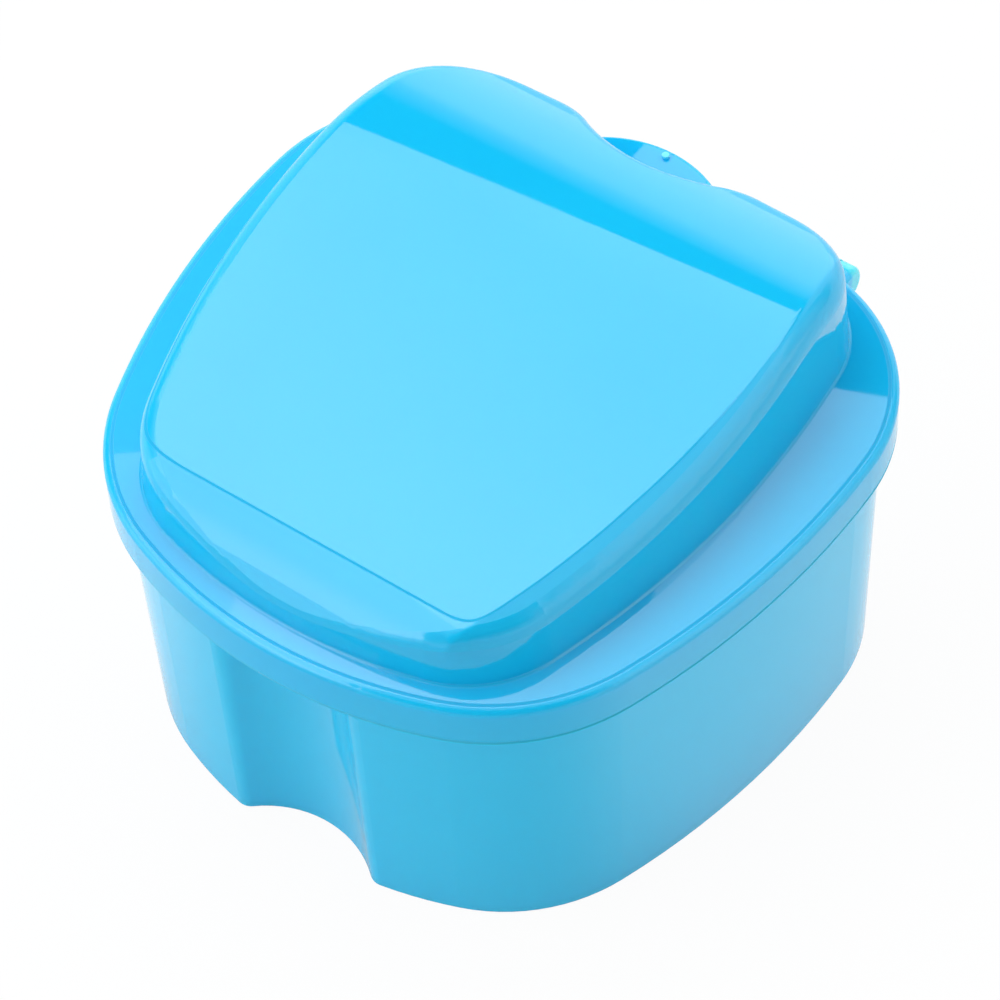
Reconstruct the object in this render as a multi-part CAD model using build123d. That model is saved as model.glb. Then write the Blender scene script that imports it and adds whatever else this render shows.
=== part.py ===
from build123d import *
from collections import namedtuple
from math import atan, atan2, ceil, cos, degrees, pi, radians, sin, sqrt, tan
import os

# Hinged denture case: an open tub, a one-piece lid with a raised dome, and a strainer
# basket that stands inside the tub. Millimetres, +Z up, front at -Y, hinge at +Y.
# The origin is the middle of the tub's underside.

# ---- Plan outlines -------------------------------------------------------------------
# A plan is a closed ring of tangent arcs, alike on the left and on the right: a front
# arc, a front corner, a side arc, a back corner and a back arc. The front and back arcs
# turn into their corners at the X positions front_turn and back_turn. A dent is a round
# hollow pressed into the middle of the front or the back arc.
Plan = namedtuple(
    "Plan", "half_width front back widest_y front_radius side_radius back_radius "
            "front_turn back_turn")
Dent = namedtuple("Dent", "radius deepest_y blend")

case_plan = Plan(
    half_width=42.5, front=42.2, back=42.0, widest_y=13.0,
    front_radius=58.3, side_radius=105.0, back_radius=86.0,
    front_turn=21.1, back_turn=26.5)

dome_plan = Plan(
    half_width=33.9, front=38.6, back=37.5, widest_y=8.5,
    front_radius=65.0, side_radius=110.0, back_radius=400.0,
    front_turn=17.9, back_turn=19.2)

# ---- Tub -----------------------------------------------------------------------------
tub_height = 42.6
tub_wall = 1.8
tub_floor = 2.0
tub_inset_rim = 1.7        # outer face inside the case plan at the rim
tub_inset_foot = 2.6       # the same at the table, because the wall is drafted
tub_foot_radius = 0.6
tub_floor_radius = 1.6     # rounds the inside of the floor
groove = Dent(radius=10.9, deepest_y=-37.5, blend=2.0)

# ---- Lid -----------------------------------------------------------------------------
rim_gap = 0.6              # air between the tub's rim and the flange
flange_thickness = 1.8
flange_slope = 8.0         # degrees, its top rises from the edge to the dome
flange_edge_radius = 0.9
skirt_depth = 5.8          # from the flange's edge to the skirt's lower edge
skirt_thickness = 1.4
dome_wall = 1.6
dome_draft = 4.0           # degrees, the walls lean in
crease_y = -31.9           # the crease across the front of the flat top
crease_rise = 8.4          # of the crease over the flange's edge
top_slope = 6.8            # degrees, the flat top rises to the back
shoulder_y = 14.6          # where the flat top turns down into the shoulder
shoulder_radius = 34.0
front_roll_radius = 8.9
front_roll_start = 10.0    # degrees, slope of the roll where it leaves the crease
dome_edge_radius = 2.2
dome_foot_radius = 0.35
dome_top_facing = 0.2      # least upward share of the normal of a top face
cleft = Dent(radius=17.0, deepest_y=33.3, blend=9.0)

# A small flat step fills the foot of the cleft, with the stub of the moulding gate.
step_rise = 6.5            # of the step over the flange's edge
step_radius = 14.9
step_back = 39.0
step_edge_radius = 0.5
gate_radius = 0.45
gate_height = 0.5
gate_inset = 1.3

# ---- Ledge ---------------------------------------------------------------------------
# The skirt comes down to a small ledge round the tub.
skirt_gap = 0.2            # air between the ledge and the skirt
ledge_inset = 0.5
ledge_thickness = 0.8
ledge_groove_reach = 11.0  # the ledge stops this far each side of the groove's middle
ledge_hinge_gap = 0.8      # and this far from the hinge's parts

# ---- Hinge ---------------------------------------------------------------------------
# Two stub pins on the tub's lugs turn in the holes of the lid's two arms.
hinge_setback = 1.1        # of the hinge's axis behind the case plan's back
hinge_drop = 1.8           # of the axis under the skirt's lower edge
hinge_radius = 2.5
hinge_pin_radius = 1.2
hinge_pin_clearance = 0.05
hinge_pin_chamfer = 0.3
arm_inner_x = 18.1         # face of the lid's arm nearest the middle
arm_thickness = 2.3
arm_root_inset = 3.3       # the arm grows out of the skirt this far inside the plan
arm_root_height = 3.6
hinge_side_gap = 0.3       # air between an arm and a lug
lug_thickness = 2.3
lug_edge_radius = 0.8
lug_root_inset = 7.0       # the lug grows out of the tub's wall
lug_root_height = 8.3
lug_root_drop = 0.7        # of the root's upper end under the hinge's axis

# ---- Basket --------------------------------------------------------------------------
basket_gap = 1.6           # air between the basket's wall and the tub's
basket_wall = 1.3
basket_floor = 1.4
basket_floor_radius = 1.4
basket_inside_radius = 0.7
basket_rim_drop = 8.0      # of the basket's rim under the tub's
basket_rim_height = 1.6
basket_rim_reach = 0.9     # how far the rim stands out from the wall
foot_radius = 3.0
foot_height = 2.0
foot_gap = 0.2             # air under the feet
foot_x = 22.0
foot_front_y = -16.0
foot_back_y = 24.0
drain_radius = 2.6
drain_pitch = 13.0
drain_margin = 5.0         # from the basket's inner wall to a drain's middle
slot_width = 3.4
slot_margin = 6.0          # of wall above and below a slot
slot_pitch = 15.0

# A finger tab stands on a shelf inside each side of the basket's rim.
tab_y = 13.0
tab_dome_gap = 3.0         # from the tab's outer face to the hollow of the lid's dome
tab_thickness = 2.0
tab_width = 15.0
tab_height = 8.5           # over the basket's rim
tab_corner = 4.0


def polar(centre, radius, angle):
    return (centre[0] + radius * cos(angle), centre[1] + radius * sin(angle))


def bearing(centre, point):
    return atan2(point[1] - centre[1], point[0] - centre[0])


def corner_arc(end, end_radius, turn_x, sign, side, side_radius):
    """Centre and radius of the corner that leaves an end arc at `turn_x`.

    `end` and `side` are the centres of the arcs that the corner joins. The sign is 1
    at the back and -1 at the front.
    """
    ahead = (turn_x / end_radius, sign * sqrt(1 - (turn_x / end_radius) ** 2))
    reach = (end[0] + end_radius * ahead[0] - side[0],
             end[1] + end_radius * ahead[1] - side[1])
    radius = ((side_radius ** 2 - reach[0] ** 2 - reach[1] ** 2)
              / (2 * (side_radius - reach[0] * ahead[0] - reach[1] * ahead[1])))
    centre = (end[0] + (end_radius - radius) * ahead[0],
              end[1] + (end_radius - radius) * ahead[1])
    return centre, radius


def blend_centre(end, end_reach, hollow, hollow_reach):
    """Point to the right of the middle, at the given distances from two centres."""
    gap = hollow[1] - end[1]
    along = (end_reach ** 2 - hollow_reach ** 2 + gap ** 2) / (2 * gap)
    return (sqrt(end_reach ** 2 - along ** 2), end[1] + along)


def end_arcs(centre, radius, middle, reach, dent):
    """Arcs of the right half of a front or back end, from the middle out to the corner.

    Each arc is (centre, radius, start angle, end angle). `reach` is the angle at which
    the corner takes over.
    """
    if dent is None:
        return [(centre, radius, middle, reach)]
    sign = 1 if middle > 0 else -1
    hollow = (0, dent.deepest_y + sign * dent.radius)
    blend = blend_centre(centre, radius - dent.blend, hollow, dent.radius + dent.blend)
    return [
        (hollow, dent.radius, -middle, bearing(hollow, blend)),
        (blend, dent.blend, bearing(blend, hollow), bearing(centre, blend)),
        (centre, radius, bearing(centre, blend), reach)]


def outline(plan, inset=0.0, front_dent=None, back_dent=None):
    """Closed face on the table plane, everywhere `inset` inside the plan.

    Dents grow by the inset, so that walls keep their thickness; their blends don't.
    """
    front = (0, plan.front_radius - plan.front)
    side = (plan.half_width - plan.side_radius, plan.widest_y)
    back = (0, plan.back - plan.back_radius)
    front_corner, front_corner_radius = corner_arc(
        front, plan.front_radius, plan.front_turn, -1, side, plan.side_radius)
    back_corner, back_corner_radius = corner_arc(
        back, plan.back_radius, plan.back_turn, 1, side, plan.side_radius)

    def grown(dent, sign):
        if dent is None:
            return None
        return Dent(dent.radius + inset, dent.deepest_y + sign * inset, dent.blend)

    front_end = end_arcs(
        front, plan.front_radius - inset, -pi / 2, bearing(front, front_corner),
        grown(front_dent, 1))
    back_end = end_arcs(
        back, plan.back_radius - inset, pi / 2, bearing(back, back_corner),
        grown(back_dent, -1))
    corners_and_side = [
        (front_corner, front_corner_radius - inset,
         bearing(front, front_corner), bearing(side, front_corner)),
        (side, plan.side_radius - inset,
         bearing(side, front_corner), bearing(side, back_corner)),
        (back_corner, back_corner_radius - inset,
         bearing(side, back_corner), bearing(back, back_corner))]

    edges = []
    for centre, radius, start, end in front_end[1:] + corners_and_side + back_end[1:]:
        points = [polar(centre, radius, a) for a in (start, (start + end) / 2, end)]
        edges.append(ThreePointArc(*points))
        edges.append(ThreePointArc(*[(-x, y) for x, y in points]))
    for centre, radius, middle, reach in (front_end[0], back_end[0]):
        x, y = polar(centre, radius, reach)
        edges.append(ThreePointArc((-x, y), polar(centre, radius, middle), (x, y)))
    return Face(Wire(edges))


def rise(face, bottom, top, lean=0.0):
    """Solid over a face between two heights; a positive lean in degrees narrows it."""
    return extrude(Pos(0, 0, bottom) * face, amount=top - bottom, taper=lean)


def box(low, high):
    size = [b - a for a, b in zip(low, high)]
    middle = [(a + b) / 2 for a, b in zip(low, high)]
    return Pos(*middle) * Box(*size)


def disc(radius, x, y, bottom, top):
    return Pos(x, y, (bottom + top) / 2) * Cylinder(radius, top - bottom)


def side_plate(sketch, low_x, high_x):
    """Solid with its outline drawn on the YZ plane, between two X positions."""
    return Pos(low_x, 0, 0) * extrude(Plane.YZ * sketch, amount=high_x - low_x, dir=(1, 0, 0))


def both_sides(solid):
    return [solid, mirror(solid, about=Plane.YZ)]


# ---- Heights -------------------------------------------------------------------------
flange_under = tub_height + rim_gap
flange_top = flange_under + flange_thickness
skirt_bottom = flange_top - skirt_depth
ledge_top = skirt_bottom - skirt_gap
crease_z = flange_top + crease_rise
step_top = flange_top + step_rise
hinge_y = case_plan.back + hinge_setback
hinge_z = skirt_bottom - hinge_drop
basket_bottom = tub_floor + foot_gap + foot_height
basket_top = tub_height - basket_rim_drop


# ---- Lid -----------------------------------------------------------------------------


def dome_profile(shrink):
    """Side view of the dome's top, on the YZ plane: front roll, flat slope, shoulder."""
    slope = radians(top_slope)
    roll = radians(front_roll_start)
    crease = (crease_y, crease_z)
    shoulder = (shoulder_y, crease_z + (shoulder_y - crease_y) * tan(slope))
    roll_centre = (crease[0] + front_roll_radius * sin(roll),
                   crease[1] - front_roll_radius * cos(roll))
    shoulder_centre = (shoulder[0] + shoulder_radius * sin(slope),
                       shoulder[1] - shoulder_radius * cos(slope))
    roll_radius = front_roll_radius - shrink
    back_radius = shoulder_radius - shrink

    # The shrunk crease is where the shrunk slope crosses the shrunk roll.
    offset = ((crease[0] - roll_centre[0]) * -sin(slope)
              + (crease[1] - roll_centre[1]) * cos(slope)) - shrink
    run = sqrt(roll_radius ** 2 - offset ** 2)
    new_crease = (roll_centre[0] - offset * sin(slope) - run * cos(slope),
                  roll_centre[1] + offset * cos(slope) - run * sin(slope))

    new_shoulder = polar(shoulder_centre, back_radius, pi / 2 + slope)
    front_end = (roll_centre[0] - roll_radius, roll_centre[1])
    roll_middle = polar(roll_centre, roll_radius,
                        (pi + bearing(roll_centre, new_crease)) / 2)
    shoulder_middle = polar(shoulder_centre, back_radius, (pi / 2 + slope) / 2)
    back_end = (shoulder_centre[0] + back_radius, shoulder_centre[1])
    floor_z = min(front_end[1], back_end[1]) - flange_thickness
    return Face(Wire([
        Line((front_end[0], floor_z), front_end),
        ThreePointArc(front_end, roll_middle, new_crease),
        Line(new_crease, new_shoulder),
        ThreePointArc(new_shoulder, shoulder_middle, back_end),
        Line(back_end, (back_end[0], floor_z)),
        Line((back_end[0], floor_z), (front_end[0], floor_z))]))


def dome_block(shrink):
    """The dome as a solid, `shrink` smaller all over, from the flange's underside up."""
    lean = tan(radians(dome_draft))
    foot_inset = shrink - flange_thickness * lean
    plan = outline(dome_plan, foot_inset, None, cleft)
    clear_of_top = crease_z + (dome_plan.front + dome_plan.back) * tan(radians(top_slope))
    walls = rise(plan, flange_under, clear_of_top, dome_draft)
    top = side_plate(dome_profile(shrink), -dome_plan.half_width, dome_plan.half_width)
    return walls & top


def crown(inset, bottom):
    """The flange's slope as a solid, from its edge at a height up to under the dome."""
    side_reach = case_plan.half_width - dome_plan.half_width
    back_reach = case_plan.back - cleft.deepest_y
    reach = max(side_reach, back_reach) + dome_wall
    height = (reach - inset) * tan(radians(flange_slope))
    edge = Pos(0, 0, bottom) * outline(case_plan, inset)
    top = Pos(0, 0, bottom + height) * outline(case_plan, reach)
    return loft([edge, top], ruled=True)


def rim_edges(solid):
    """Edges where the dome's top faces meet its walls."""
    tops = [face for face in solid.faces() if face.normal_at().Z > dome_top_facing]
    seen = {}
    for face in tops:
        for edge in face.edges():
            key = tuple(round(v, 3) for v in edge.position_at(0.5))
            seen.setdefault(key, []).append(edge)
    return [group[0] for group in seen.values() if len(group) == 1]


def edges_at(solid, height):
    """Edges that lie level at a height."""
    return solid.edges().filter_by_position(Axis.Z, height, height)


def hinge_sketch(root_y, root_low, root_high):
    """Plate outline: round the hinge axis and tangent down to its root."""
    eye = Pos(hinge_y, hinge_z) * Circle(hinge_radius)
    root = Line((root_y, root_low), (root_y, root_high))
    return make_hull(eye.edges() + [root])


def lid():
    flange = rise(outline(case_plan), skirt_bottom, flange_top) + crown(0, flange_top)
    flange = fillet(edges_at(flange, flange_top), flange_edge_radius)
    dome = dome_block(0.0)
    dome = fillet(rim_edges(dome), dome_edge_radius)

    step_y = step_back - step_radius
    step = disc(step_radius, 0, step_y, flange_under, step_top)
    step = fillet(step.edges().group_by(Axis.Z)[-1], step_edge_radius)
    gate = disc(gate_radius, 0, step_back - gate_inset, step_top, step_top + gate_height)

    under_skirt = rise(outline(case_plan, skirt_thickness), skirt_bottom, flange_under)
    under_crown = crown(skirt_thickness, flange_under)
    hollow = dome_block(dome_wall)
    under_step = disc(step_radius - dome_wall, 0, step_y, flange_under,
                      step_top - dome_wall)

    arm_high_x = arm_inner_x + arm_thickness
    arm_root_y = case_plan.back - arm_root_inset
    arm = side_plate(
        hinge_sketch(arm_root_y, skirt_bottom, skirt_bottom + arm_root_height),
        arm_inner_x, arm_high_x)
    hole = side_plate(
        Pos(hinge_y, hinge_z) * Circle(hinge_pin_radius + hinge_pin_clearance),
        arm_inner_x, arm_high_x)

    shell = flange + dome
    shell = fillet(new_edges(flange, dome, combined=shell), dome_foot_radius)
    solid = shell + step + gate
    solid = solid - under_skirt - under_crown - hollow - under_step
    solid = solid + both_sides(arm)
    return solid - both_sides(hole)


# ---- Tub -----------------------------------------------------------------------------
tub_lean = degrees(atan((tub_inset_foot - tub_inset_rim) / tub_height))


def tub_inset(height):
    """How far the tub's outer face lies inside the case plan at a height."""
    return tub_inset_foot - (tub_inset_foot - tub_inset_rim) * height / tub_height


def tub():
    wall = rise(outline(case_plan, tub_inset_foot, groove), 0, tub_height, -tub_lean)
    wall = fillet(wall.edges().group_by(Axis.Z)[0], tub_foot_radius)

    ledge = rise(outline(case_plan, ledge_inset), ledge_top - ledge_thickness, ledge_top)
    ledge -= box((-ledge_groove_reach, -case_plan.front, 0),
                 (ledge_groove_reach, 0, flange_top))
    hinge_low_x = arm_inner_x - ledge_hinge_gap
    hinge_high_x = (arm_inner_x + arm_thickness + hinge_side_gap + lug_thickness
                    + ledge_hinge_gap)
    ledge -= both_sides(box((hinge_low_x, 0, 0),
                            (hinge_high_x, case_plan.back, flange_top)))

    lug_low_x = arm_inner_x + arm_thickness + hinge_side_gap
    lug_root_high = hinge_z - lug_root_drop
    lug = side_plate(
        hinge_sketch(case_plan.back - lug_root_inset,
                     lug_root_high - lug_root_height, lug_root_high),
        lug_low_x, lug_low_x + lug_thickness)
    lug = fillet(lug.edges().group_by(Axis.X)[-1], lug_edge_radius)
    pin = side_plate(Pos(hinge_y, hinge_z) * Circle(hinge_pin_radius),
                     arm_inner_x, lug_low_x)
    pin = chamfer(pin.edges().group_by(Axis.X)[0], hinge_pin_chamfer)

    inside = rise(
        outline(case_plan, tub_inset(tub_floor) + tub_wall, groove),
        tub_floor, tub_height, -tub_lean)
    inside = fillet(inside.edges().group_by(Axis.Z)[0], tub_floor_radius)

    solid = wall + ledge + both_sides(lug + pin)
    return solid - inside


# ---- Basket --------------------------------------------------------------------------
def basket():
    basket_inset = tub_inset(basket_bottom) + tub_wall + basket_gap
    shell = rise(outline(case_plan, basket_inset, groove),
                 basket_bottom, basket_top, -tub_lean)
    shell = fillet(shell.edges().group_by(Axis.Z)[0], basket_floor_radius)
    rim_bottom = basket_top - basket_rim_height
    rim_inset = tub_inset(rim_bottom) + tub_wall + basket_gap - basket_rim_reach
    rim_plan = outline(case_plan, rim_inset, groove)
    rim = rise(rim_plan, rim_bottom, basket_top, -tub_lean)
    floor_top = basket_bottom + basket_floor
    inside_inset = tub_inset(floor_top) + tub_wall + basket_gap + basket_wall
    inside_plan = outline(case_plan, inside_inset, groove)
    inside = rise(inside_plan, floor_top, basket_top, -tub_lean)
    inside = fillet(inside.edges().group_by(Axis.Z)[0], basket_inside_radius)
    solid = shell + rim - inside

    # Drain holes in the floor.
    drain_area = outline(case_plan, inside_inset + drain_margin, groove)
    steps = ceil(case_plan.half_width / drain_pitch)
    places = [(column * drain_pitch, row * drain_pitch)
              for column in range(-steps, steps + 1) for row in range(-steps, steps + 1)]
    solid -= [disc(drain_radius, x, y, 0, floor_top + basket_floor)
              for x, y in places if drain_area.is_inside((x, y, 0))]

    # Upright slots all round the wall.
    slot_low = floor_top + slot_margin
    slot_high = rim_bottom - slot_margin
    path = outline(case_plan, basket_inset + basket_wall / 2, groove).outer_wire()
    count = round(path.length / slot_pitch)
    for index in range(count):
        spot = path.position_at((index + 0.5) / count)
        along = path.tangent_at((index + 0.5) / count)
        face_plane = Plane(origin=(spot.X, spot.Y, (slot_low + slot_high) / 2),
                           x_dir=(0, 0, 1), z_dir=Vector(along.Y, -along.X, 0))
        slot = extrude(face_plane * SlotOverall(slot_high - slot_low, slot_width),
                       amount=basket_wall * 2, both=True)
        solid -= slot

    for y in (foot_front_y, foot_back_y):
        foot = disc(foot_radius, foot_x, y, tub_floor + foot_gap, basket_bottom)
        solid += both_sides(foot)

    # The finger tabs, with their shelves cut to the rim's outline.
    outer_x = dome_plan.half_width - dome_wall - tab_dome_gap
    inner_x = outer_x - tab_thickness
    low_y = tab_y - tab_width / 2
    high_y = tab_y + tab_width / 2
    shelf = rim & box((inner_x, low_y, rim_bottom),
                      (case_plan.half_width, high_y, basket_top))
    tab = box((inner_x, low_y, basket_top), (outer_x, high_y, basket_top + tab_height))
    tab = fillet(tab.edges().filter_by(Axis.X).group_by(Axis.Z)[-1], tab_corner)
    return solid + both_sides(shelf + tab)


parts = {"tub": tub, "lid": lid, "strainer_basket": basket}

os.makedirs("parts", exist_ok=True)
for name, make in parts.items():
    export_step(make(), f"parts/{name}.step")
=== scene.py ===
import math

import bpy
from mathutils import Matrix, Vector

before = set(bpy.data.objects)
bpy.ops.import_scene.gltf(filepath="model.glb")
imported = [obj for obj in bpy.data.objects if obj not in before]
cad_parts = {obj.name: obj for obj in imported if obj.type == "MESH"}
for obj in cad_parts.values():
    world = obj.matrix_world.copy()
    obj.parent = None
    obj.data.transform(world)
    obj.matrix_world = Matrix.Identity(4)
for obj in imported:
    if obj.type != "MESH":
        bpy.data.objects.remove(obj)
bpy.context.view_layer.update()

MM = 0.001

scene = bpy.context.scene
scene.view_settings.view_transform = "Standard"


# ---- Camera ------------------------------------------------------------------
# The camera stands in front of the case, to its right, and looks down on it.
CAMERA_AZIMUTH = 38.15      # degrees, how far it looks to the left of +Y
CAMERA_ELEVATION = 52.50    # degrees above the horizon
CAMERA_ROLL = -3.47         # degrees
CAMERA_DISTANCE = 503.6     # mm
CAMERA_TARGET = (3.08, -1.80, 30.0)     # mm
FOCAL_IN_WIDTHS = 4.286     # focal length over the width of the frame
SENSOR_WIDTH = 36.0         # mm
CLIP_START = 0.01           # metres, as are all lengths from here on
CLIP_END = 20.0


def add_camera():
    azimuth = math.radians(CAMERA_AZIMUTH)
    elevation = math.radians(CAMERA_ELEVATION)
    roll = math.radians(CAMERA_ROLL)
    ahead = Vector((-math.sin(azimuth) * math.cos(elevation),
                    math.cos(azimuth) * math.cos(elevation),
                    -math.sin(elevation)))
    level = ahead.cross(Vector((0, 0, 1))).normalized()
    upright = level.cross(ahead).normalized()
    right = level * math.cos(roll) + upright * math.sin(roll)
    up = upright * math.cos(roll) - level * math.sin(roll)
    place = Vector(CAMERA_TARGET) * MM - ahead * CAMERA_DISTANCE * MM
    data = bpy.data.cameras.new("camera")
    data.sensor_width = SENSOR_WIDTH
    data.lens = FOCAL_IN_WIDTHS * SENSOR_WIDTH
    data.clip_start = CLIP_START
    data.clip_end = CLIP_END
    camera = bpy.data.objects.new("camera", data)
    scene.collection.objects.link(camera)
    turn = Matrix((right, up, -ahead)).transposed()
    camera.matrix_world = Matrix.Translation(place) @ turn.to_4x4()
    scene.camera = camera


# ---- Node helpers ------------------------------------------------------------
def new_material(name):
    material = bpy.data.materials.new(name)
    material.use_nodes = True
    tree = material.node_tree
    tree.nodes.clear()
    return material, tree


def node(tree, kind, **values):
    made = tree.nodes.new(kind)
    for key, value in values.items():
        setattr(made, key, value)
    return made


def noise(tree, place, scale, detail):
    made = node(tree, "ShaderNodeTexNoise")
    made.inputs["Scale"].default_value = scale
    made.inputs["Detail"].default_value = detail
    tree.links.new(place, made.inputs["Vector"])
    return made.outputs["Fac"]


def remap(tree, value, low, high, new_low, new_high):
    made = node(tree, "ShaderNodeMapRange")
    made.inputs["From Min"].default_value = low
    made.inputs["From Max"].default_value = high
    made.inputs["To Min"].default_value = new_low
    made.inputs["To Max"].default_value = new_high
    tree.links.new(value, made.inputs["Value"])
    return made.outputs["Result"]


def math_node(tree, operation, first, second=0.0):
    made = node(tree, "ShaderNodeMath", operation=operation)
    for socket, value in zip(made.inputs, (first, second)):
        if isinstance(value, (int, float)):
            socket.default_value = value
        else:
            tree.links.new(value, socket)
    return made.outputs["Value"]


def bump(tree, height, under=None):
    """The normals of a surface raised by `height`, over the normals `under` it."""
    made = node(tree, "ShaderNodeBump")
    made.inputs["Strength"].default_value = 1.0
    made.inputs["Distance"].default_value = 1.0
    tree.links.new(height, made.inputs["Height"])
    if under is not None:
        tree.links.new(under, made.inputs["Normal"])
    return made.outputs["Normal"]


def split(tree, place):
    parts = node(tree, "ShaderNodeSeparateXYZ")
    tree.links.new(place, parts.inputs["Vector"])
    return parts.outputs["X"], parts.outputs["Y"], parts.outputs["Z"]


def soft(tree, operation, first, second, reach):
    """SMOOTH_MIN or SMOOTH_MAX, rounded over `reach`."""
    made = node(tree, "ShaderNodeMath", operation=operation)
    tree.links.new(first, made.inputs[0])
    if isinstance(second, float):
        made.inputs[1].default_value = second
    else:
        tree.links.new(second, made.inputs[1])
    made.inputs[2].default_value = reach
    return made.outputs["Value"]


def mix_number(tree, factor, first, second):
    made = node(tree, "ShaderNodeMix", data_type="FLOAT")
    tree.links.new(factor, made.inputs["Factor"])
    tree.links.new(first, made.inputs["A"])
    made.inputs["B"].default_value = second
    return made.outputs["Result"]


def mix_vector(tree, factor, first, second):
    made = node(tree, "ShaderNodeMix", data_type="VECTOR")
    tree.links.new(factor, made.inputs["Factor"])
    sides = [socket for socket in made.inputs if socket.type == "VECTOR"]
    tree.links.new(first, sides[-2])
    tree.links.new(second, sides[-1])
    return [socket for socket in made.outputs if socket.type == "VECTOR"][0]


def mix_colour(tree, factor, first, second):
    made = node(tree, "ShaderNodeMix", data_type="RGBA")
    for name, value in (("Factor", factor), ("A", first), ("B", second)):
        socket = [s for s in made.inputs if s.name == name and s.enabled][0]
        if isinstance(value, tuple):
            socket.default_value = (*value, 1.0)
        else:
            tree.links.new(value, socket)
    return [s for s in made.outputs if s.enabled][0]


def linear(red, green, blue):
    """A colour given as it looks on a screen, 0 to 255, as the renderer wants it."""
    def one(value):
        value /= 255.0
        return value / 12.92 if value <= 0.04045 else ((value + 0.055) / 1.055) ** 2.4
    return (one(red), one(green), one(blue))


# ---- Plastic -------------------------------------------------------------------
CLOUDS = (35.0, 3.0)            # each noise's scale, to the metre, and its detail
HAZE = (60.0, 4.0)
WAVES = (80.0, 1.0)
FLOW_MARKS = (900.0, 4.0)
CLOUD_SPAN = (0.3, 0.7)         # of the noise, from one colour to the other
HAZE_SPAN = (0.3, 0.75)
ROUGHNESS_SPREAD = (0.8, 1.25)
FLOW_MARK_HEIGHT = 0.0000004
WAVE_HEIGHT = 0.000010
PLASTIC_IOR = 1.6
SCATTER_RADIUS = (0.2, 0.8, 1.0)
SCATTER_SCALE = 0.004


def shiny_plastic(name, colour, deep, roughness, scatter, relief=None, marks=()):
    """Glossy moulded polypropylene: slight cloudiness, fine flow marks, faint rubs.

    `relief` turns the surface; each of `marks` is a place, 0 to 1, its colour and
    its roughness, or None where the roughness stays."""
    material, tree = new_material(name)
    place = node(tree, "ShaderNodeTexCoord").outputs["Object"]
    clouds = noise(tree, place, *CLOUDS)
    tint = mix_colour(tree, remap(tree, clouds, *CLOUD_SPAN, 0.0, 1.0), colour, deep)
    fine = noise(tree, place, *FLOW_MARKS)
    haze = noise(tree, place, *HAZE)
    rough = remap(tree, haze, *HAZE_SPAN,
                  *(roughness * spread for spread in ROUGHNESS_SPREAD))
    shader = node(tree, "ShaderNodeBsdfPrincipled")
    shader.inputs["IOR"].default_value = PLASTIC_IOR
    shader.inputs["Subsurface Weight"].default_value = scatter
    shader.inputs["Subsurface Radius"].default_value = SCATTER_RADIUS
    shader.inputs["Subsurface Scale"].default_value = SCATTER_SCALE
    height = math_node(tree, "MULTIPLY", fine, FLOW_MARK_HEIGHT)
    waves = noise(tree, place, *WAVES)
    height = math_node(tree, "ADD", height,
                       math_node(tree, "MULTIPLY", waves, WAVE_HEIGHT))
    for where, mark_colour, mark_roughness in marks:
        there = where(tree, place)
        tint = mix_colour(tree, there, tint, mark_colour)
        if mark_roughness is not None:
            rough = mix_number(tree, there, rough, mark_roughness)
    tree.links.new(tint, shader.inputs["Base Color"])
    tree.links.new(rough, shader.inputs["Roughness"])
    normal = bump(tree, height)
    if relief is not None:
        normal = relief(tree, place, normal)
    tree.links.new(normal, shader.inputs["Normal"])
    out = node(tree, "ShaderNodeOutputMaterial")
    tree.links.new(shader.outputs["BSDF"], out.inputs["Surface"])
    return material


# ---- Marks and relief on the lid -------------------------------------------------
# Painted dark reflection: the lines along the panel's edge and round the flange's
# rounded edge are painted darker in this colour.
PAINTED_DARK_REFLECTION_COLOUR = (0.0, 0.42, 0.74)
LINE_ROUGHNESS = 1.0
LINE_HALF_WIDTH = 0.00010

# The lid's flat panel ends in front and along both sides in a fine painted dark
# reflection, where the surface starts to turn.
SIDE_ARC_X = 0.0761             # middle of each side of the dome, an arc
SIDE_ARC_Y = 0.0085
SIDE_ARC_RADIUS = 0.110
PANEL_INSET_RIGHT = 0.0044      # of the panel's side from the dome's, in front
PANEL_INSET_RIGHT_BACK = 0.0036
PANEL_INSET_FROM = -0.010
PANEL_INSET_TO = 0.018
PANEL_INSET_LEFT = 0.0012
PANEL_FRONT_Y = -0.0319
PANEL_CORNER_RIGHT = 0.004
PANEL_CORNER_LEFT = 0.008
PANEL_FALL = 0.36               # slope of the shading beside the panel, over the
PANEL_FALL_END = 0.0033         # dome's own, and how far it reaches
PANEL_EDGE_BLEND = 0.0004
PANEL_FALL_BLEND = 0.0016
LINE_BACK_Y = 0.0               # the line fades out behind this
LINE_FADE = 0.01
LID_TOP_FROM = 0.051            # height over which the panel's lines show
LID_TOP_BLEND = 0.002
# The painted dark reflection round the flange runs at this height.
RIM_LINE_Z = 0.045155           # where the flange's slope meets its rounded edge
RIM_LINE_HALF = 0.000018
RIM_LINE_STRENGTH = 0.8


def side_inset(tree, x, y, side):
    """Distance in from one side of the dome: 1 for the right, -1 for the left."""
    run = math_node(tree, "ADD", x, side * SIDE_ARC_X)
    along = math_node(tree, "SUBTRACT", y, SIDE_ARC_Y)
    far = math_node(tree, "SQRT", math_node(
        tree, "ADD", math_node(tree, "MULTIPLY", run, run),
        math_node(tree, "MULTIPLY", along, along)))
    return math_node(tree, "SUBTRACT", SIDE_ARC_RADIUS, far)


def inside_right(tree, x, y):
    """Distance inside the panel's right side."""
    edge = remap(tree, y, PANEL_INSET_FROM, PANEL_INSET_TO,
                 PANEL_INSET_RIGHT, PANEL_INSET_RIGHT_BACK)
    return math_node(tree, "SUBTRACT", side_inset(tree, x, y, 1.0), edge)


def on_top(tree, z):
    """1 on the dome's top and 0 on the flange and the walls."""
    return remap(tree, z, LID_TOP_FROM - LID_TOP_BLEND, LID_TOP_FROM, 0.0, 1.0)


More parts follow.
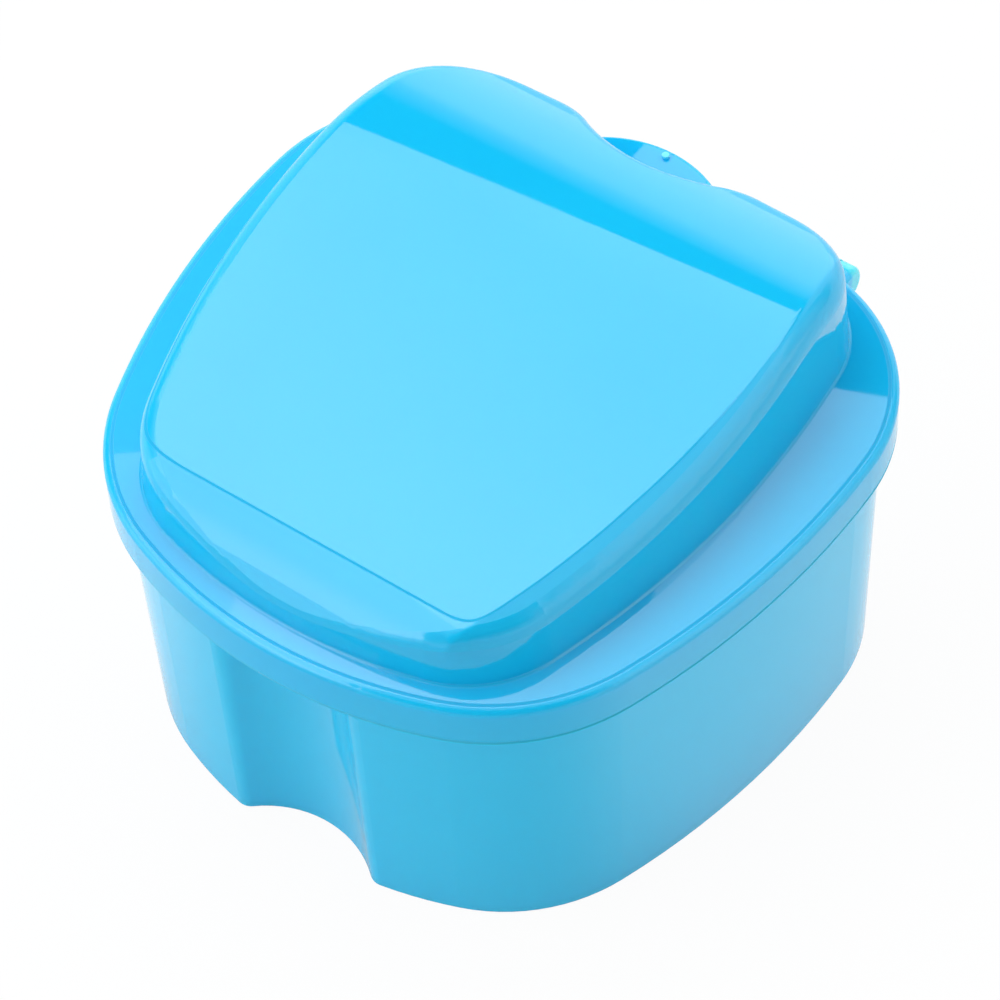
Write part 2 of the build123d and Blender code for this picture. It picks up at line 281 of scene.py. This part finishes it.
def lid_painted_dark_reflections(tree, place):
    """1 on the painted dark reflection along the panel's edge and on the one round the
    flange, 0 off them.
    """
    x, y, z = split(tree, place)
    front = math_node(tree, "SUBTRACT", y, PANEL_FRONT_Y)
    left = math_node(tree, "SUBTRACT", side_inset(tree, x, y, -1.0), PANEL_INSET_LEFT)
    inside = soft(tree, "SMOOTH_MIN", inside_right(tree, x, y), front,
                  PANEL_CORNER_RIGHT)
    inside = soft(tree, "SMOOTH_MIN", inside, left, PANEL_CORNER_LEFT)
    away = math_node(tree, "ABSOLUTE", inside)
    line = remap(tree, away, LINE_HALF_WIDTH, LINE_HALF_WIDTH * 2.0, 1.0, 0.0)
    fade = remap(tree, y, LINE_BACK_Y, LINE_BACK_Y + LINE_FADE, 1.0, 0.0)
    line = math_node(tree, "MULTIPLY", line, fade)
    line = math_node(tree, "MULTIPLY", line, on_top(tree, z))
    rise = math_node(tree, "ABSOLUTE", math_node(tree, "SUBTRACT", z, RIM_LINE_Z))
    rim = remap(tree, rise, RIM_LINE_HALF, RIM_LINE_HALF * 2.0, RIM_LINE_STRENGTH, 0.0)
    return math_node(tree, "MAXIMUM", line, rim)


# Painted shade: the gap under the skirt's lower edge is painted dark in this colour.
GAP_PAINTED_SHADE_COLOUR = (0.0, 0.38, 0.60)
SKIRT_LINE_Z = 0.0392           # the skirt's lower edge, dark from the gap under it
SKIRT_LINE_HALF = 0.00034
SKIRT_LINE_FROM_X = -0.005      # faint on the left of this, full on the right side
SKIRT_LINE_FULL_X = 0.030
SKIRT_LINE_FAINT = 0.15


def skirt_gap_painted_shade(tree, place):
    """1 along the skirt's lower edge, where the gap's shade is painted, fainter towards
    the left, 0 elsewhere.
    """
    x, _, z = split(tree, place)
    rise = math_node(tree, "ABSOLUTE", math_node(tree, "SUBTRACT", z, SKIRT_LINE_Z))
    skirt = remap(tree, rise, SKIRT_LINE_HALF, SKIRT_LINE_HALF * 1.5, 1.0, 0.0)
    side = remap(tree, x, SKIRT_LINE_FROM_X, SKIRT_LINE_FULL_X, SKIRT_LINE_FAINT, 1.0)
    return math_node(tree, "MULTIPLY", skirt, side)


# The hinge's lugs are thin, and the light that comes through them is painted: their
# colour is lighter.
LUG_FROM_Y = 0.0430
LUG_BLEND = 0.0005
LUG_PAINTED_LIGHT_COLOUR = (0.09, 0.78, 0.93)


def lugs_painted_light(tree, place):
    """1 behind the case's back wall, where the light coming through the hinge is
    painted, 0 elsewhere.
    """
    _, y, _ = split(tree, place)
    return remap(tree, y, LUG_FROM_Y, LUG_FROM_Y + LUG_BLEND, 0.0, 1.0)


def lid_relief(tree, place, normal):
    """Right of the panel the shading falls away to the dome's side by PANEL_FALL more
    than the solid does: this slope is in the material only."""
    x, y, z = split(tree, place)
    beyond = math_node(tree, "MULTIPLY", inside_right(tree, x, y), -1.0)
    begin = soft(tree, "SMOOTH_MAX", beyond, 0.0, PANEL_EDGE_BLEND)
    end = soft(tree, "SMOOTH_MIN", begin, PANEL_FALL_END, PANEL_FALL_BLEND)
    fallen = bump(tree, math_node(tree, "MULTIPLY", end, -PANEL_FALL), normal)
    turned = mix_vector(tree, on_top(tree, z), normal, fallen)
    return step_relief(tree, x, y, z, turned)


# The small step in the cleft behind the dome, and the pip on it.
STEP_FROM_Y = 0.0345
STEP_HALF_WIDTH = 0.0112
STEP_TOP_Z = 0.0515
STEP_MARGIN = 0.0002
STEP_BLEND = 0.0001
STEP_LEAN = 0.09                # slope
STEP_DOMING = 6.0               # fall over the square of the way from the middle
# The pip's top is painted lighter, a painted highlight.
PIP_HALF_WIDTH = 0.0015
PIP_PAINTED_HIGHLIGHT_COLOUR = (0.14, 0.80, 0.95)


def step_relief(tree, x, y, z, normal):
    """The shading of the step's top leans forward a little and is slightly domed."""
    lean = math_node(tree, "MULTIPLY", y, STEP_LEAN)
    dome = math_node(tree, "MULTIPLY", math_node(tree, "MULTIPLY", x, x), -STEP_DOMING)
    leaning = bump(tree, math_node(tree, "ADD", lean, dome), normal)
    there = behind_dome(tree, x, y, z, STEP_HALF_WIDTH, STEP_TOP_Z - STEP_MARGIN)
    return mix_vector(tree, there, normal, leaning)


def behind_dome(tree, x, y, z, half_width, low_z):
    """1 over the step behind the dome's hollow, above a height, 0 elsewhere."""
    behind = remap(tree, y, STEP_FROM_Y, STEP_FROM_Y + STEP_MARGIN, 0.0, 1.0)
    high = remap(tree, z, low_z - STEP_BLEND, low_z, 0.0, 1.0)
    across = math_node(tree, "ABSOLUTE", x)
    within = remap(tree, across, half_width - STEP_MARGIN, half_width, 1.0, 0.0)
    there = math_node(tree, "MULTIPLY", behind, high)
    return math_node(tree, "MULTIPLY", there, within)


def pip_painted_highlight(tree, place):
    """1 on the pip left where the mould was fed, on the step, painted lighter as a
    highlight on its top, 0 elsewhere.
    """
    x, y, z = split(tree, place)
    return behind_dome(tree, x, y, z, PIP_HALF_WIDTH, STEP_TOP_Z + STEP_MARGIN)


DUST_CELLS = 110.0              # to the metre
DUST_CLEAN = 0.80               # share of the cells with no speck
DUST_CLEAN_BLEND = 0.01
DUST_SIZE = 0.010               # of a speck, in cells
DUST_COLOUR = (0.55, 0.88, 0.96)


def dust(tree, place):
    """1 on a few fine specks of dust."""
    cells = node(tree, "ShaderNodeTexVoronoi")
    cells.inputs["Scale"].default_value = DUST_CELLS
    tree.links.new(place, cells.inputs["Vector"])
    chosen, _, _ = split(tree, cells.outputs["Color"])
    few = remap(tree, chosen, DUST_CLEAN, DUST_CLEAN + DUST_CLEAN_BLEND, 0.0, 1.0)
    speck = remap(tree, cells.outputs["Distance"], DUST_SIZE, DUST_SIZE * 1.5, 1.0, 0.0)
    return math_node(tree, "MULTIPLY", few, speck)


def paint(name, material):
    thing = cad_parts[name]
    for place in thing.material_slots:
        place.material = material


# ---- Floor, world and lamps ----------------------------------------------------
FLOOR_WIDTH = 6.0
FLOOR_COLOUR = (0.9, 0.9, 0.9, 1.0)
FLOOR_SHARE = 0.95         # of its glow in what the camera sees, the rest being lit
FLOOR_MIRRORED = 0.80      # the same in reflections
# The strength of that glow in reflections, less in front of the case.
FLOOR_MIRROR_SIDE = 0.95
FLOOR_MIRROR_FRONT = 0.45
FLOOR_DARK_AZIMUTH = 168.0
FLOOR_DARK_INNER = 25.0
FLOOR_DARK_OUTER = 70.0


def add_floor():
    bpy.ops.mesh.primitive_plane_add(size=FLOOR_WIDTH, location=(0, 0, 0))
    floor = bpy.context.active_object
    floor.name = "floor"
    material, tree = new_material("floor_white")
    diffuse = node(tree, "ShaderNodeBsdfDiffuse")
    diffuse.inputs["Color"].default_value = FLOOR_COLOUR
    glow = node(tree, "ShaderNodeEmission")
    glow.inputs["Color"].default_value = (1.0, 1.0, 1.0, 1.0)
    rays = node(tree, "ShaderNodeLightPath")
    seen = math_node(tree, "MULTIPLY", rays.outputs["Is Camera Ray"], FLOOR_SHARE)
    mirrored = math_node(tree, "MAXIMUM", rays.outputs["Is Glossy Ray"],
                         rays.outputs["Is Transmission Ray"])
    mirrored = math_node(tree, "MULTIPLY", mirrored, FLOOR_MIRRORED)
    share = math_node(tree, "MAXIMUM", seen, mirrored)
    place = node(tree, "ShaderNodeTexCoord").outputs["Object"]
    bearing = node(tree, "ShaderNodeVectorMath", operation="NORMALIZE")
    tree.links.new(place, bearing.inputs[0])
    front = lobe(tree, bearing.outputs["Vector"], FLOOR_DARK_AZIMUTH, 0.0,
                 FLOOR_DARK_INNER, FLOOR_DARK_OUTER)
    mirror = remap(tree, front, 0.0, 1.0, FLOOR_MIRROR_SIDE, FLOOR_MIRROR_FRONT)
    strength = mix_number(tree, rays.outputs["Is Camera Ray"], mirror, 1.0)
    tree.links.new(strength, glow.inputs["Strength"])
    both = node(tree, "ShaderNodeMixShader")
    tree.links.new(share, both.inputs["Fac"])
    tree.links.new(diffuse.outputs["BSDF"], both.inputs[1])
    tree.links.new(glow.outputs["Emission"], both.inputs[2])
    out = node(tree, "ShaderNodeOutputMaterial")
    tree.links.new(both.outputs["Shader"], out.inputs["Surface"])
    floor.data.materials.append(material)


def towards(azimuth, elevation):
    """Unit vector for a bearing from +Y, clockwise, and a height, in degrees."""
    turn, rise = math.radians(azimuth), math.radians(elevation)
    return (math.sin(turn) * math.cos(rise), math.cos(turn) * math.cos(rise),
            math.sin(rise))


def lobe(tree, way, azimuth, elevation, inner, outer):
    """1 within `inner` degrees of a direction, 0 beyond `outer`, soft between."""
    near = node(tree, "ShaderNodeVectorMath", operation="DOT_PRODUCT")
    tree.links.new(way, near.inputs[0])
    near.inputs[1].default_value = towards(azimuth, elevation)
    made = node(tree, "ShaderNodeMapRange", interpolation_type="SMOOTHSTEP")
    made.inputs["From Min"].default_value = math.cos(math.radians(outer))
    made.inputs["From Max"].default_value = math.cos(math.radians(inner))
    tree.links.new(near.outputs["Value"], made.inputs["Value"])
    return made.outputs["Result"]


WORLD_LEVEL = 0.98
WORLD_DARKEST = 0.03
# Bearing, height, inner and outer reach in degrees, and the change of level.
WORLD_LOBES = (
    (142.0, 38.0, 28.0, 48.0, -0.90),
    (-14.0, 57.0, 9.0, 25.0, -0.92),
    (-38.0, 46.0, 4.0, 22.0, -0.95),
    (-88.0, 24.0, 6.0, 20.0, -0.80),
    (-25.0, 0.0, 6.0, 44.0, 0.75),
    (-140.0, 18.0, 14.0, 40.0, 0.75),
    (62.0, 30.0, 20.0, 40.0, 0.55),
    (36.0, 24.0, 16.0, 27.0, -0.65),
)


def add_world():
    """A pale studio, in which WORLD_LOBES are darker or brighter patches."""
    world = bpy.data.worlds.new("studio")
    scene.world = world
    world.use_nodes = True
    tree = world.node_tree
    tree.nodes.clear()
    way = node(tree, "ShaderNodeTexCoord").outputs["Generated"]
    level = WORLD_LEVEL
    for azimuth, elevation, inner, outer, change in WORLD_LOBES:
        part = lobe(tree, way, azimuth, elevation, inner, outer)
        level = math_node(tree, "ADD", level,
                          math_node(tree, "MULTIPLY", part, change))
    level = math_node(tree, "MAXIMUM", level, WORLD_DARKEST)
    seen = node(tree, "ShaderNodeLightPath").outputs["Is Camera Ray"]
    shade = mix_colour(tree, seen, level, (1.0, 1.0, 1.0))
    back = node(tree, "ShaderNodeBackground")
    tree.links.new(shade, back.inputs["Color"])
    out = node(tree, "ShaderNodeOutputWorld")
    tree.links.new(back.outputs["Background"], out.inputs["Surface"])


def add_lamp(name, middle, width, depth, radiance, turn=0.0):
    """A level soft box that shines down, turned by `turn` degrees."""
    data = bpy.data.lights.new(name, "AREA")
    data.shape = "RECTANGLE"
    data.size = width
    data.size_y = depth
    data.energy = radiance * math.pi * width * depth
    lamp = bpy.data.objects.new(name, data)
    scene.collection.objects.link(lamp)
    lamp.matrix_world = Matrix.Translation(middle) @ Matrix.Rotation(
        math.radians(turn), 4, "Z")


LAMP_HEIGHT = 0.8
BOX_FAR_EDGE = 0.576        # of the overhead box, ahead along the camera's bearing
BOX_DEPTH = 0.42
BOX_WIDTH = 0.60
BOX_SHIFT = 0.075           # to the right
BOX_RADIANCE = 2.2
# Its left end is dimmer.
END_WIDTH = 0.25
END_RADIANCE = 1.2
# Its wing reaches further back on the right.
WING_WIDTH = 0.412
WING_DEPTH = 0.14
WING_AHEAD = 0.632
WING_ASIDE = 0.110
WING_TURN = 34.4
STRIP_MIDDLE = (-0.46, -1.015)
STRIP_WIDTH = 0.6
STRIP_DEPTH = 2.57
STRIP_RADIANCE = 1.3


def add_lamps():
    """An overhead box in three parts, ahead of the camera, and a strip on the left."""
    bearing = math.radians(CAMERA_AZIMUTH)
    ahead = Vector((-math.sin(bearing), math.cos(bearing), 0.0))
    aside = Vector((math.cos(bearing), math.sin(bearing), 0.0))
    above = Vector((0.0, 0.0, LAMP_HEIGHT))
    box = above + ahead * (BOX_FAR_EDGE - BOX_DEPTH / 2) + aside * BOX_SHIFT
    end = box - aside * (BOX_WIDTH + END_WIDTH) / 2
    wing = above + ahead * WING_AHEAD + aside * WING_ASIDE
    add_lamp("overhead_box", box, BOX_WIDTH, BOX_DEPTH, BOX_RADIANCE, CAMERA_AZIMUTH)
    add_lamp("overhead_end", end, END_WIDTH, BOX_DEPTH, END_RADIANCE, CAMERA_AZIMUTH)
    add_lamp("overhead_wing", wing, WING_WIDTH, WING_DEPTH, BOX_RADIANCE,
             CAMERA_AZIMUTH + WING_TURN)
    add_lamp("left_strip", (*STRIP_MIDDLE, LAMP_HEIGHT), STRIP_WIDTH, STRIP_DEPTH,
             STRIP_RADIANCE)


# ---- The scene -------------------------------------------------------------------
add_camera()
add_floor()
add_world()
add_lamps()

lid_plastic = shiny_plastic(
    "lid_sky_blue", (0.008, 0.520, 0.90), (0.006, 0.500, 0.88),
    roughness=0.035, scatter=0.25, relief=lid_relief,
    marks=((lid_painted_dark_reflections, PAINTED_DARK_REFLECTION_COLOUR, LINE_ROUGHNESS),
           (skirt_gap_painted_shade, GAP_PAINTED_SHADE_COLOUR, LINE_ROUGHNESS), (lugs_painted_light, LUG_PAINTED_LIGHT_COLOUR, None),
           (pip_painted_highlight, PIP_PAINTED_HIGHLIGHT_COLOUR, None), (dust, DUST_COLOUR, LINE_ROUGHNESS)))
tub_plastic = shiny_plastic(
    "tub_sky_blue", (0.008, 0.585, 0.96), (0.006, 0.565, 0.94),
    roughness=0.06, scatter=0.25,
    marks=((lugs_painted_light, LUG_PAINTED_LIGHT_COLOUR, None), (dust, DUST_COLOUR, LINE_ROUGHNESS)))
basket_plastic = shiny_plastic(
    "basket_white", linear(238, 244, 246), linear(228, 236, 240),
    roughness=0.28, scatter=0.2)
paint("lid", lid_plastic)
paint("tub", tub_plastic)
paint("strainer_basket", basket_plastic)
